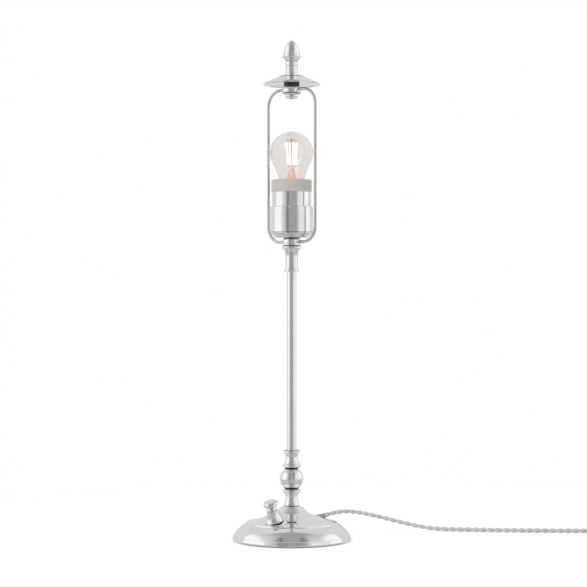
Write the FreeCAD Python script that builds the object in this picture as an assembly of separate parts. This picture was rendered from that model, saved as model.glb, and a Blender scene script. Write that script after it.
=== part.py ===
"""Plated table lamp without its shade: round bell base, turned baluster, thin stem and a wire
loop round the lampholder and bulb. Millimetres, +Z up, origin on the lamp's axis at the table."""

import FreeCAD, Part
import math
import os

from FreeCAD import Placement, Rotation, Vector

os.makedirs("parts", exist_ok=True)

UP = Vector(0, 0, 1)
FIT = 0.05  # radial clearance of a bore on the tube or stud that it slips over

# Driving dimensions
BASE_R = 62.0
BASE_TOP = 35.0
SHELL = 1.0
TUBE_R = 5.0
TUBE_BORE = 4.0
BALUSTER_TOP = 93.7
COUPLING_BOTTOM = 279.6
COUPLING_TOP = 307.2
HUB_TOP = 314.3
HOLDER_RIM = 321.4
SHELL_STEP = 348.0
RING_BOTTOM = 363.0
RING_TOP = 376.0
BULB_R = 22.5
BULB_CENTRE = 404.0
BULB_CONTACT = 349.0
ROD_R = 1.6
LOOP_HALF = 31.4
LOOP_BOTTOM = 311.1
LOOP_TOP = 470.2
LOOP_BEND = 16.0
LOOP_TURN = -39.0  # degrees about the axis: the right-hand rod stands nearer the front
TOP_NUT = 461.0
TOP_HUB = 465.0
PLATE_SEAT = 473.2
PLATE_TOP = 485.5
PLATE_R = 30.0
SLEEVE_TOP = 495.8
FINIAL_TIP = 522.3
STUD_R = 3.0
SWITCH_AT = Vector(-17.7, -26.0, 0)
SWITCH_TILT = 21.0  # degrees from vertical, outwards, square to the bell there
HOUSING_TOP = 12.3  # along the switch's own axis, from the bell
PUSH = 1.2
CORD_R = 2.5

# Cord from its bush to the coil, as corners that arcs round off; found from the photograph
CORD_ROUTE = [
    (34.8, 24.4, 22.4), (47.2, 33.1, 25.2), (66.0, 45.5, 24.2), (92.0, 59.5, 17.2),
    (120.0, 66.5, 9.2), (150.0, 68.0, 2.6), (187.4, 61.4, 2.5), (231.1, 56.0, 2.5),
    (277.0, 52.8, 2.5), (323.0, 52.0, 2.5), (358.0, 52.3, 2.5),
]
COIL_CENTRE = Vector(360.0, 12.3, 0)
COIL_IN, COIL_OUT, COIL_HIGH = 17.5, 42.5, 10.0
TAIL_ROUTE = [(395.0, 9.0, 7.5), (390.0, -11.0, 6.85), (390.0, -28.0, 6.85)]

# Outline of the bell from its shoulder to the step, the step's sharp edge, and the outer dome
BELL = [
    (11.5, 34.2), (13.1, 32.7), (14.6, 31.1), (16.7, 29.0), (19.9, 27.2), (23.0, 25.9),
    (29.8, 23.6), (34.5, 21.7), (39.7, 20.1), (46.8, 18.9),
]
BELL_STEP = (47.4, 18.8)
DOME = [(47.6, 17.9), (52.8, 14.4), (55.9, 11.8), (58.5, 8.7), (60.4, 5.9)]


def save(name, shape):
    """Writes one node, after checking that it holds only sound solids."""
    if not shape.isValid() or not shape.Solids or shape.Volume <= 0:
        raise ValueError(name + " isn't a sound solid")
    shape.exportStep("parts/" + name + ".step")


def group(shapes):
    return Part.makeCompound(list(shapes))


def edge_chain(points, smooth=False):
    """Edges through (r, z) points in the XZ plane: one spline, or straight lines. A point written
    (r, z, (r2, z2)) is reached by an arc that passes through (r2, z2)."""
    at = [Vector(p[0], 0, p[1]) for p in points]
    if smooth:
        curve = Part.BSplineCurve()
        curve.interpolate(at)
        return [curve.toShape()]
    edges = []
    for i in range(1, len(points)):
        if len(points[i]) == 3:
            middle = Vector(points[i][2][0], 0, points[i][2][1])
            edges.append(Part.Arc(at[i - 1], middle, at[i]).toShape())
        elif not at[i].isEqual(at[i - 1], 1e-6):
            edges.append(Part.LineSegment(at[i - 1], at[i]).toShape())
    return edges


def spun(edges):
    """Solid of revolution about the lamp's axis from a closed chain of edges."""
    outline = Part.Wire(Part.__sortEdges__(edges))
    return Part.Face(outline).revolve(Vector(0, 0, 0), UP, 360)


def turned(outside, bore=0.0):
    """Turned piece: the outside from bottom to top, closed along a plain bore or the axis."""
    low, high = outside[0][1], outside[-1][1]
    return spun(edge_chain([(bore, low)] + outside + [(bore, high), (bore, low)]))


def ring(inner, outer, low, high):
    return turned([(outer, low), (outer, high)], inner)


def disc(radius, low, high):
    return Part.makeCylinder(radius, high - low, Vector(0, 0, low))


def hexagon(across, low, high):
    corners = [
        Vector(across / math.sqrt(3) * math.cos(math.radians(a)),
               across / math.sqrt(3) * math.sin(math.radians(a)), low)
        for a in range(0, 361, 60)
    ]
    return Part.Face(Part.makePolygon(corners)).extrude(Vector(0, 0, high - low))


def inset(points, depth):
    """The same outline moved inwards, square to itself, for the other side of a sheet."""
    moved = []
    for i, (r, z) in enumerate(points):
        before, after = points[max(i - 1, 0)], points[min(i + 1, len(points) - 1)]
        dr, dz = after[0] - before[0], after[1] - before[1]
        long = math.hypot(dr, dz)
        moved.append((r + depth * dz / long, z - depth * dr / long))
    return moved


def rounded_path(route):
    """Straight runs joined by tangent arcs, each as large as its two runs allow."""
    at = [Vector(*p) for p in route]
    edges, start, radii = [], at[0], []
    for i in range(1, len(at) - 1):
        back, ahead = at[i - 1] - at[i], at[i + 1] - at[i]
        reach = 0.45 * min(back.Length, ahead.Length)
        turn = math.pi - back.getAngle(ahead)
        radii.append(reach / math.tan(turn / 2))
        back.normalize()
        ahead.normalize()
        first, last = at[i] + back * reach, at[i] + ahead * reach
        half = (back + ahead).normalize()
        middle = at[i] + half * (radii[-1] / math.cos(turn / 2) - radii[-1])
        edges.append(Part.LineSegment(start, first).toShape())
        edges.append(Part.Arc(first, middle, last).toShape())
        start = last
    edges.append(Part.LineSegment(start, at[-1]).toShape())
    return Part.Wire(edges), radii


def swept(path, radius):
    """Round bar along a path."""
    first = path.Edges[0]
    circle = Part.makeCircle(radius, first.valueAt(first.FirstParameter),
                             first.tangentAt(first.FirstParameter))
    return path.makePipeShell([Part.Wire([circle])], True, False)


def rod_between(a, b, radius):
    a, b = Vector(*a), Vector(*b)
    return Part.makeCylinder(radius, (b - a).Length, a, b - a)


# Base: the spun bell, the iron weight in it, and the cover and felt below
def bell_edges(depth):
    """Bell and dome: outside with the step's sharp edge, inside with a plain corner there."""
    bell, dome = inset(BELL, depth), inset(DOME, depth)
    between = [bell[-1], dome[0]] if depth else [bell[-1], BELL_STEP, dome[0]]
    return edge_chain(bell, True) + edge_chain(between) + edge_chain(dome, True)


def bell_solid():
    """The whole volume under the outside of the bell, for cutting pieces to sit on it."""
    rim = [DOME[-1], (60.9, 5.6), (BASE_R, 2.2), (61.6, 0.8), (0, 0.8), (0, BASE_TOP),
           (9.6, BASE_TOP), (BELL[0][0], BELL[0][1], (10.9, 34.8))]
    return spun(bell_edges(0) + edge_chain(rim))


def switch_place():
    """Where the switch's own Z axis stands on the bell."""
    out = Vector(SWITCH_AT).normalize()
    tilt = math.radians(SWITCH_TILT)
    normal = out * math.sin(tilt) + UP * math.cos(tilt)
    radius = SWITCH_AT.Length
    near = [p for p in BELL if p[0] <= radius][-1]
    far = [p for p in BELL if p[0] > radius][0]
    share = (radius - near[0]) / (far[0] - near[0])
    height = near[1] + share * (far[1] - near[1])
    return Placement(Vector(SWITCH_AT.x, SWITCH_AT.y, height), Rotation(UP, normal))


def exit_direction():
    """The way the cord leaves the base: along the first run of its route."""
    return (Vector(*CORD_ROUTE[1]) - Vector(*CORD_ROUTE[0])).normalize()


BUSH_R = 3.5
BUSH_INSIDE = 13.0
SWITCH_HOLE = 5.1
WEIGHT_TOP = 7.5
WEIGHT_R = 57.0
HUB_R = 11.0
CABLE_HOLE_Z = 15.0


def base():
    inner_bell, inner_dome = inset(BELL, SHELL), inset(DOME, SHELL)
    low = inner_dome[-1]
    rim = [DOME[-1], (60.9, 5.6), (BASE_R, 2.2), (61.6, 0.8), (60.6, 0.8), (60.9, 2.2), low]
    top = [inner_bell[0], (9.2, BASE_TOP - SHELL), (TUBE_R + FIT, BASE_TOP - SHELL),
           (TUBE_R + FIT, BASE_TOP), (9.6, BASE_TOP), (BELL[0][0], BELL[0][1], (10.9, 34.8))]
    shell = spun(
        bell_edges(0) + edge_chain(rim) + bell_edges(SHELL) + edge_chain(top)
    )
    switch_hole = Part.makeCylinder(SWITCH_HOLE, 20, Vector(0, 0, -10))
    switch_hole.Placement = switch_place()
    start = Vector(*CORD_ROUTE[0])
    bush_hole = Part.makeCylinder(BUSH_R + FIT, 24, start - exit_direction() * 20, exit_direction())
    save("base_shell", shell.cut(switch_hole).cut(bush_hole))

    weight = turned(
        [(WEIGHT_R, 2.2), (WEIGHT_R, WEIGHT_TOP - 1), (WEIGHT_R - 1, WEIGHT_TOP),
         (HUB_R + 1.5, WEIGHT_TOP), (HUB_R, WEIGHT_TOP + 1.5), (HUB_R, 28.0),
         (9.0, 31.0), (9.0, BASE_TOP - SHELL)],
        TUBE_R + FIT,
    )
    pocket = disc(9.8, 2.2, 9.2)
    cable_hole = Part.makeCylinder(2.6, 16, Vector(0, 0, CABLE_HOLE_Z), Vector(0, 1, 0))
    screw_holes = [
        Part.makeCylinder(1.55, 4.4, Vector(*cover_screw_at(k), 2.2)) for k in range(3)
    ]
    save("base_weight", weight.cut(group([pocket, cable_hole] + screw_holes)))

    cover = disc(60.2, 1.2, 2.2)
    countersinks = [
        Part.makeCone(2.6, 1.6, 1.0, Vector(*cover_screw_at(k), 1.2)) for k in range(3)
    ]
    save("base_cover", cover.cut(group([disc(9.8, 1.2, 2.2)] + countersinks)))
    save("cover_screws", group(
        Part.makeCone(2.5, 1.5, 1.0, Vector(*cover_screw_at(k), 1.2)).fuse(
            Part.makeCylinder(1.5, 4.2, Vector(*cover_screw_at(k), 2.2)))
        for k in range(3)
    ))
    save("felt_pad", disc(59.0, 0, 1.2))
    save("bottom_washer", ring(TUBE_R + FIT, 9.0, 8.2, 9.2))
    save("bottom_nut", hexagon(14.0, 4.2, 8.2).cut(disc(TUBE_R + FIT, 4.2, 8.2)))


def cover_screw_at(k):
    angle = math.radians(90 + 120 * k)
    return 46.0 * math.cos(angle), 46.0 * math.sin(angle)


# Stem: one tube from the nut under the base to the hub, with turned pieces slipped over it
def stem():
    tube = ring(TUBE_BORE, TUBE_R, 3.0, 309.0)
    side_hole = Part.makeCylinder(2.4, 8, Vector(0, 0, CABLE_HOLE_Z), Vector(0, 1, 0))
    save("stem_tube", tube.cut(side_hole))
    bore = TUBE_R + FIT
    save("lower_baluster", turned([
        (8.1, BASE_TOP), (7.7, 35.7), (8.3, 36.2), (8.5, 37.0), (6.5, 45.0, (6.95, 41.2)),
        (7.3, 48.4, (6.6, 47.0)), (8.0, 48.7), (8.0, 49.5), (9.0, 49.9), (9.0, 52.6, (9.8, 51.2)),
        (7.1, 53.0), (7.1, 53.6),
    ], bore))
    save("baluster_ball", turned([
        (7.0, 53.6), (7.0, 54.1), (7.6, 54.1), (12.5, 63.9, (10.9, 58.0)),
        (7.6, 73.6, (10.9, 69.8)), (7.0, 73.6), (7.0, 74.2),
    ], bore))
    save("upper_baluster", turned([
        (7.0, 74.2), (7.1, 75.3), (9.0, 76.1), (9.0, 79.0, (9.7, 77.6)), (7.7, 79.6), (7.6, 81.4),
        (6.4, 86.5, (6.65, 84.0)), (7.3, 90.2, (6.6, 88.6)), (8.0, 90.7), (8.3, 91.6),
        (8.3, 93.0), (7.7, BALUSTER_TOP),
    ], bore))
    save("trumpet_coupling", turned([
        (7.1, COUPLING_BOTTOM), (7.8, 280.3), (7.8, 282.6), (7.0, 283.4), (6.4, 284.6),
        (6.5, 294.5), (8.1, 303.2, (6.9, 299.4)), (9.7, 303.7), (9.7, 306.4, (10.3, 305.0)),
        (9.1, 306.9), (9.1, COUPLING_TOP),
    ], bore))


# Loop: two bent rods held in the hubs below and above the bulb
def loop_rod(side):
    """One rod from hub to hub, bent twice, before the loop is turned about the axis."""
    sign = {"left": -1, "right": 1}[side]
    inside = 6.6

    def at(x, z):
        return Vector(sign * x, 0, z)

    def bend(z, direction):
        centre = (LOOP_HALF - LOOP_BEND, z + direction * LOOP_BEND)
        away = LOOP_BEND * math.sqrt(0.5)
        points = [at(centre[0], z), at(centre[0] + away, centre[1] - direction * away),
                  at(LOOP_HALF, centre[1])]
        return points if direction > 0 else points[::-1]

    low, high = bend(LOOP_BOTTOM, 1), bend(LOOP_TOP, -1)
    path = Part.Wire([
        Part.LineSegment(at(inside, LOOP_BOTTOM), low[0]).toShape(),
        Part.Arc(*low).toShape(),
        Part.LineSegment(low[2], high[0]).toShape(),
        Part.Arc(*high).toShape(),
        Part.LineSegment(high[2], at(inside, LOOP_TOP)).toShape(),
    ])
    rod = swept(path, ROD_R)
    rod.rotate(Vector(0, 0, 0), UP, LOOP_TURN)
    return rod


def rod_sockets(height):
    """The two blind holes that take the rods' ends."""
    sockets = []
    for start in (6.5, -6.5 - 6):
        hole = Part.makeCylinder(ROD_R + FIT, 6, Vector(start, 0, height), Vector(1, 0, 0))
        hole.rotate(Vector(0, 0, 0), UP, LOOP_TURN)
        sockets.append(hole)
    return group(sockets)


def loop():
    save("loop_rod_left", loop_rod("left"))
    save("loop_rod_right", loop_rod("right"))
    lower = turned([(9.0, COUPLING_TOP), (9.6, 307.9), (9.8, 311.0), (9.5, 313.6), (8.9, HUB_TOP)],
                   TUBE_R + FIT)
    save("lower_hub", lower.cut(rod_sockets(LOOP_BOTTOM)))
    upper = turned([
        (8.2, TOP_HUB), (9.9, 468.4, (9.5, 466.3)), (9.9, 470.4),
        (8.6, PLATE_SEAT, (9.6, 472.2)),
    ], STUD_R + FIT)
    save("top_hub", upper.cut(rod_sockets(LOOP_TOP)))


# Lampholder: a metal cup in two steps with a porcelain insert and a ceramic ring at its mouth
CONTACT_FLOOR = 346.0


def lampholder():
    save("holder_nipple", ring(3.6, 4.95, 309.2, 325.0))
    save("holder_dish", turned([
        (8.0, HUB_TOP), (8.0, 315.2), (16.6, 315.6), (18.6, 317.0, (17.9, 316.0)),
        (19.6, 318.2), (21.6, 320.4, (20.9, 319.0)), (21.6, HOLDER_RIM),
    ], 5.0).cut(turned([
        (15.6, 316.8), (18.4, 318.8), (20.4, 320.6), (20.4, HOLDER_RIM),
    ], 5.0)))
    save("holder_nut", hexagon(14.0, 316.8, 319.8).cut(disc(5.0, 316.8, 319.8)))
    save("holder_lower_shell", spun(edge_chain([
        (22.4, HOLDER_RIM), (22.4, SHELL_STEP - 0.8), (21.6, SHELL_STEP), (20.6, SHELL_STEP),
        (20.6, SHELL_STEP - 1.0), (21.6, SHELL_STEP - 1.6), (21.6, HOLDER_RIM),
        (22.4, HOLDER_RIM),
    ])))
    save("holder_upper_shell", ring(19.6, 20.5, 344.0, RING_BOTTOM))
    save("holder_ring", turned([
        (20.8, RING_BOTTOM), (21.2, RING_BOTTOM + 0.4), (21.2, RING_TOP - 1.2),
        (20.0, RING_TOP, (20.9, RING_TOP - 0.3)),
    ], 14.6).cut(disc(19.5, RING_BOTTOM - 1, RING_BOTTOM + 1.6)))
    porcelain_edge = [
        (16.5, 325.2), (17.5, 326.2), (18.6, 342.0), (19.4, 343.4), (19.4, 364.4),
    ]
    floor_plate = disc(14.5, 325.2, CONTACT_FLOOR).cut(disc(5.6, 325.2, 340.0))
    screws = (-9.5, 9.5)
    porcelain = turned(porcelain_edge, 14.4).fuse(floor_plate)
    porcelain = porcelain.cut(group(disc_at(x, 1.6, 336.0, CONTACT_FLOOR) for x in screws))
    save("holder_insert", porcelain.removeSplitter())

    sheet = CONTACT_FLOOR + 0.5
    tab = Part.makeBox(7.2, 5.0, 0.5, Vector(-13.8, -2.5, CONTACT_FLOOR))
    cup = ring(13.4, 13.9, sheet, 369.0).fuse(ring(13.4, 14.3, CONTACT_FLOOR, sheet)).fuse(tab)
    save("thread_shell", cup.cut(disc_at(screws[0], 1.6, CONTACT_FLOOR, sheet)))
    foot = Part.makeBox(6.4, 5.0, 0.5, Vector(6.2, -2.5, CONTACT_FLOOR))
    leg = Part.makeBox(0.5, 5.0, 2.8, Vector(6.2, -2.5, CONTACT_FLOOR))
    tongue = Part.makeBox(9.2, 5.0, 0.5, Vector(-3.0, -2.5, CONTACT_FLOOR + 2.3))
    contact = foot.fuse(leg).fuse(tongue)
    save("centre_contact", contact.cut(disc_at(screws[1], 1.6, CONTACT_FLOOR, sheet)))
    save("contact_screws", group(
        disc_at(x, 1.5, 337.0, sheet).fuse(disc_at(x, 2.6, sheet, sheet + 1.4)) for x in screws
    ))


def disc_at(x, radius, low, high):
    return Part.makeCylinder(radius, high - low, Vector(x, 0, low))


# Bulb: clear ball envelope, screw cap and four upright filaments on a glass stem
def bulb():
    wall, in_cap = 0.7, 371.0

    def envelope(radius, neck):
        """One side of the glass, from inside the cap up to the crown."""
        turn = math.radians(-37.0)
        shoulder = (radius * math.cos(turn), BULB_CENTRE + radius * math.sin(turn))
        return [(neck - 1.6, in_cap), (neck - 1.6, 374.6), (neck, 376.6), (neck + 0.5, 378.2),
                shoulder, (0, BULB_CENTRE + radius, (radius, BULB_CENTRE))]

    outside, inside = envelope(BULB_R, 13.0), envelope(BULB_R - wall, 13.0 - wall)
    ends = edge_chain([outside[0], inside[0]]) + edge_chain([outside[-1][:2], inside[-1][:2]])
    save("bulb_glass", spun(edge_chain(outside) + edge_chain(inside) + ends))

    pitch, root, crest = 3.63, 12.3, 13.15
    thread = [(11.6, 352.4), (root, 353.2)]
    for k in range(5):
        low = 354.0 + pitch * k
        thread += [(root, low), (root, low + pitch, (crest, low + pitch / 2))]
    thread += [(12.9, 373.0), (13.1, 375.0)]
    inner = [(12.4, 375.0), (11.8, 373.4), (11.8, 353.4), (11.0, 352.8)]
    save("bulb_cap", spun(edge_chain(thread + inner + [thread[0]])))
    save("bulb_insulator", turned([(4.6, 349.8), (5.4, 349.8), (10.9, 352.6), (10.9, 354.4)], 1.0))
    save("bulb_contact", turned([(3.9, BULB_CONTACT), (4.5, 349.3), (4.5, 349.8)]))
    save("bulb_stem", turned([
        (10.8, 371.6), (10.4, 372.6), (5.0, 377.5, (6.2, 374.2)), (3.8, 384.0), (3.2, 388.0),
        (1.2, 389.6), (1.2, 392.5), (0.9, 393.0),
    ]))
    turn, foot_r, head_r, foot, head = 20.0, 4.2, 5.8, 391.0, 416.0
    feet, heads = [], []
    for k in range(4):
        angle = math.radians(turn + 90 * k)
        feet.append((foot_r * math.cos(angle), foot_r * math.sin(angle), foot))
        heads.append((head_r * math.cos(angle), head_r * math.sin(angle), head))
    save("bulb_filaments", group(rod_between(a, b, 0.85) for a, b in zip(feet, heads)))
    wires = [rod_between((0.62 * x, 0.62 * y, 388.4), (x, y, z), 0.3)
             for x, y, z in feet]
    crown = [rod_between((x, y, z), (0, 0, 418.6), 0.3) for x, y, z in heads]
    post = rod_between((0, 0, 393.0), (0, 0, 419.0), 0.45)
    save("filament_wires", group(wires + [post.fuse(crown)]))


# Top: the stud that clamps nut, hub, spacer, shade plate, sleeve and finial together
def top():
    save("top_stud", turned([(2.4, 460.4), (STUD_R, 461.2), (STUD_R, 506.0), (2.4, 507.0)]))
    save("top_nut", turned([
        (5.0, TOP_NUT), (6.8, 463.0, (6.2, 461.6)), (6.6, 464.5), (6.2, TOP_HUB),
    ], STUD_R + FIT))
    save("plate_spacer", ring(STUD_R + FIT, 8.2, PLATE_SEAT, PLATE_TOP - 1.2))
    rise = [(PLATE_R - 0.3, 475.1), (PLATE_R, 475.7), (28.3, 477.4), (22.2, 480.0),
            (14.9, 483.0, (18.4, 481.6)), (12.6, 484.4, (13.9, 483.6)),
            (9.5, 485.2, (11.2, 485.0)), (7.0, PLATE_TOP)]
    under = [(STUD_R + FIT, PLATE_TOP), (STUD_R + FIT, PLATE_TOP - 1.2), (9.2, PLATE_TOP - 1.2),
             (11.8, 483.4), (14.2, 482.2), (22.0, 479.0), (28.0, 476.4), (29.2, 475.1),
             (PLATE_R - 0.3, 475.1)]
    save("shade_plate", spun(edge_chain(rise + under)))
    save("finial_sleeve", turned([
        (6.8, PLATE_TOP), (6.5, 486.6), (6.4, 494.2), (6.7, 495.0), (6.7, SLEEVE_TOP),
    ], STUD_R + FIT))
    blank = turned([
        (6.6, SLEEVE_TOP + FIT), (6.7, 497.4), (9.1, 502.8, (7.3, 500.6)), (9.7, 504.0),
        (9.7, 504.9), (8.9, 505.6), (7.7, 512.4, (8.6, 509.0)), (4.5, 518.7, (6.6, 515.6)),
        (1.6, 521.6, (3.2, 520.2)), (0.01, FINIAL_TIP, (0.8, 522.1)),
    ])
    save("finial", blank.cut(disc(STUD_R + FIT, SLEEVE_TOP, 508.0)))


# Switch on the base: turned housing outside, dimmer inside, knob on a spindle through both
def switch():
    place = switch_place()

    def stand(name, shape):
        shape.Placement = place.multiply(shape.Placement)
        save(name, shape)

    bush_bore, spindle_top = 3.07, 17.0
    housing = turned([
        (9.7, -3.0), (9.7, 1.0), (9.2, 1.7), (8.6, 2.0), (6.0, 10.4, (6.7, 6.4)),
        (5.8, HOUSING_TOP),
    ], SWITCH_HOLE - FIT)
    housing = housing.fuse(ring(bush_bore + 0.1, SWITCH_HOLE, 8.2, 8.9))
    housing = housing.fuse(ring(4.25, SWITCH_HOLE, HOUSING_TOP - 1.3, HOUSING_TOP))
    housing.Placement = place
    save("switch_housing", housing.cut(bell_solid()))
    stand("switch_bush", ring(bush_bore, 4.95, -3.4, 8.0).fuse(ring(bush_bore, 8.3, -3.4, -2.6)))
    stand("switch_washer", ring(SWITCH_HOLE, 8.0, -2.6, -1.8))
    stand("dimmer_case", disc(8.3, -12.6, -3.4).cut(disc(6.7, -9.1, -3.4)).cut(
        disc(4.0, -11.6, -9.1)))
    stand("push_contact", disc(2.6, -11.6, -11.3))
    rotor = disc(6.3, -8.8, -7.4).fuse(disc(3.4, -9.4, -6.9))
    stand("dimmer_rotor", rotor.cut(d_bar(2.06, 1.46, -9.4, -6.9)))
    stand("switch_spindle", disc(STUD_R, -5.6, spindle_top).fuse(d_bar(2.0, 1.4, -9.9, -5.6)))
    foot = HOUSING_TOP + PUSH + 0.1
    knob = turned([
        (5.5, foot), (5.6, foot + 0.6), (5.0, 15.4), (5.3, 16.8), (7.0, 17.8),
        (7.5, 19.4, (7.4, 18.5)), (6.8, 21.6, (7.4, 20.8)), (4.6, 22.5, (5.9, 22.3)),
        (0.01, 22.9, (2.4, 22.8)),
    ])
    skirt = ring(STUD_R, 4.0, foot - 3.2, foot)
    stand("switch_knob", knob.fuse(skirt).cut(disc(STUD_R, foot - 3.2, spindle_top)))


def d_bar(radius, flat, low, high):
    """Round bar with one flat."""
    slab = Part.makeBox(4, 8, high - low, Vector(flat, -4, low))
    return disc(radius, low, high).cut(slab)


# Wiring in the base: bush, two-way terminal block and leads
BLOCK_AT = Vector(2.0, 26.0, WEIGHT_TOP)


def wiring():
    start, out = Vector(*CORD_ROUTE[0]), exit_direction()
    inner_end = start - out * (BUSH_INSIDE + 6)
    bush = Part.makeCylinder(BUSH_R, BUSH_INSIDE + 4, inner_end, out)
    tip = Part.makeCone(BUSH_R, CORD_R + 0.4, 2.0, start - out * 2, out)
    save("cord_bush", bush.fuse(tip))
    block = Part.makeBox(18, 9, 8, BLOCK_AT - Vector(9, 4.5, 0))
    holes = [Part.makeCylinder(1.6, 4, BLOCK_AT + Vector(x, 0, 4)) for x in (-4.5, 4.5)]
    save("terminal_block", block.cut(group(holes)))
    save("terminal_screws", group(
        Part.makeCylinder(1.5, 2.6, BLOCK_AT + Vector(x, 0, 4)) for x in (-4.5, 4.5)
    ))
    leads = []
    for side in (-1, 1):
        entry = BLOCK_AT + Vector(9, side * 2, 4)
        leave = inner_end + Vector(0, 0, side * 1.2)
        middle = (entry + leave) * 0.5 + Vector(2, 0, -1)
        leads.append(swept(rounded_path([tuple(leave), tuple(middle), tuple(entry)])[0], 0.9))
    save("supply_leads", group(leads))
    leads = []
    for side in (-1, 1):
        x = side * 1.2
        route = [(x, BLOCK_AT.y - 4.5, 12.5), (x, 13.5, 13.6), (x, 1.6, CABLE_HOLE_Z),
                 (x, 0.2, 30.0), (x, 0.0, 338.0)]
        leads.append(swept(rounded_path(route)[0], 0.8))
    save("lamp_leads", group(leads))
    leads = []
    for side in (-1, 1):
        entry = BLOCK_AT + Vector(-9, side * 2, 4)
        route = [tuple(entry), (-24.0, 20.0 + side * 1.5, 11.0), (-27.0, 0.0 + side, 10.0),
                 (-20.0, -14.0 + side, 9.2)]
        leads.append(swept(rounded_path(route)[0], 0.8))
    save("switch_leads", group(leads))


# Cord: from the bush across the table to a tied coil, then a short tail and a flat plug
PLUG_BACK = Vector(*TAIL_ROUTE[-1])
PIN_R = 2.0
PIN_LONG = 19.0
PIN_APART = 18.6


def cord():
    path, radii = rounded_path(CORD_ROUTE)
    tail, tail_radii = rounded_path(TAIL_ROUTE)
    print("cord arc radii", [round(r, 1) for r in radii + tail_radii])
    tube, end = swept(path, CORD_R), swept(tail, CORD_R)
    for shape, line in ((tube, path), (end, tail)):
        print("volume over section times length",
              round(shape.Volume / (math.pi * CORD_R**2 * line.Length), 4))
    print("cord lengths", round(path.Length, 1), round(tail.Length, 1))
    save("cord_tube", tube)
    save("cord_tail", end)
    coil = ring(COIL_IN, COIL_OUT, 0, COIL_HIGH)
    wide, thick = 8.0, 0.6
    band = Part.makeBox(COIL_OUT, wide, COIL_HIGH, Vector(-COIL_OUT, -wide / 2, 0))
    band = band.common(coil)
    core = ring(COIL_IN + thick, COIL_OUT - thick, thick, COIL_HIGH - thick)
    tie = band.cut(core)
    coil = coil.cut(tie)
    for name, shape in (("cord_coil", coil), ("coil_tie", tie)):
        shape.translate(COIL_CENTRE)
        save(name, shape)


def plug():
    """Flat two-pin plug: a tapered body and two round pins."""
    x0, y0, z0 = PLUG_BACK

    def section(half_wide, half_high, y):
        corners = [Vector(x0 + sx * half_wide, y, z0 + sz * half_high)
                   for sx, sz in ((-1, -1), (1, -1), (1, 1), (-1, 1), (-1, -1))]
        return Part.makePolygon(corners)

    neck = Part.makeLoft([section(4.2, 4.0, y0), section(6.5, 5.6, y0 - 12)], True, True)
    body = Part.makeLoft([section(6.5, 5.6, y0 - 12), section(16.0, 6.85, y0 - 20),
                          section(17.6, 6.85, y0 - 36)], True, True)
    save("plug_body", neck.fuse(body))
    pins = []
    for side in (-1, 1):
        root = Vector(x0 + side * PIN_APART / 2, y0 - 36, z0)
        pin = Part.makeCylinder(PIN_R, PIN_LONG - 1.2, root, Vector(0, -1, 0))
        tip = Part.makeCone(PIN_R, PIN_R - 0.8, 1.2, root - Vector(0, PIN_LONG - 1.2, 0),
                            Vector(0, -1, 0))
        pins.append(pin.fuse(tip))
    save("plug_pins", group(pins))


base()
stem()
loop()
lampholder()
bulb()
top()
switch()
wiring()
cord()
plug()
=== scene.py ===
import math

import bpy
import numpy as np
from mathutils import Matrix, Vector


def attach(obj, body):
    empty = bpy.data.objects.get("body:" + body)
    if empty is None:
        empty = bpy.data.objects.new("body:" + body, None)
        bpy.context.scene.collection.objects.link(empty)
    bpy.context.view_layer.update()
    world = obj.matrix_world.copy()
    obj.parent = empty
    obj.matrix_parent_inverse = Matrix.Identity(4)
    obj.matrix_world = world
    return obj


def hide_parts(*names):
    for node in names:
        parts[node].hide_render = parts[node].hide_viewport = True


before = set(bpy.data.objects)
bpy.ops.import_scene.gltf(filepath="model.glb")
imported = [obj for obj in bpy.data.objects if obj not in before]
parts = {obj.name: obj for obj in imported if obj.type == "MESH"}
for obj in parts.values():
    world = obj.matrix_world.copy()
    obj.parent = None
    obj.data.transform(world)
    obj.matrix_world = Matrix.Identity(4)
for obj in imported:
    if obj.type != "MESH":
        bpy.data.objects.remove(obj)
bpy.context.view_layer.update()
scene = bpy.context.scene


# Camera: level and straight in front of the lamp, at a little under half of its height. Its
# distance comes from how open the ellipses of the base are in the photograph.
CAMERA_AT = (0.0019, -1.820, 0.2573)
LENS = 106.83  # mm, for a picture 36 mm wide
camera = bpy.data.objects.new("photo_camera", bpy.data.cameras.new("photo_camera"))
camera.location = CAMERA_AT
camera.rotation_euler = (math.pi / 2, 0, 0)
camera.data.lens = LENS
camera.data.sensor_width = 36.0
scene.collection.objects.link(camera)
scene.camera = camera


# Studio: white surroundings, as in a photographer's light tent. The metal sees a tall white
# screen on each side, a paler wall behind them and the dim side that the camera stands on.
scene.view_settings.view_transform = "Standard"


def node(tree, kind, values=(), links=(), **settings):
    """One shader node: settings on the node itself, values and links on its inputs."""
    made = tree.nodes.new(kind)
    for name, value in settings.items():
        setattr(made, name, value)
    for socket, value in dict(values).items():
        made.inputs[socket].default_value = value
    for socket, source in dict(links).items():
        tree.links.new(source, made.inputs[socket])
    return made


def maths(tree, operation, *terms):
    """One Math node. A term is a number or another node's output."""
    made = node(tree, "ShaderNodeMath", operation=operation)
    for place, term in enumerate(terms):
        if isinstance(term, (int, float)):
            made.inputs[place].default_value = term
        else:
            tree.links.new(term, made.inputs[place])
    return made.outputs[0]


def mixed(tree, share, first, second):
    """A colour between two, by a share from 0 to 1. A term is a colour or a node's output."""
    made = node(tree, "ShaderNodeMix", data_type="RGBA")
    factor, colour_a, colour_b, result = 0, 6, 7, 2
    for socket, term in ((factor, share), (colour_a, first), (colour_b, second)):
        if isinstance(term, tuple):
            made.inputs[socket].default_value = (*term, 1)
        else:
            tree.links.new(term, made.inputs[socket])
    return made.outputs[result]


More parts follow.
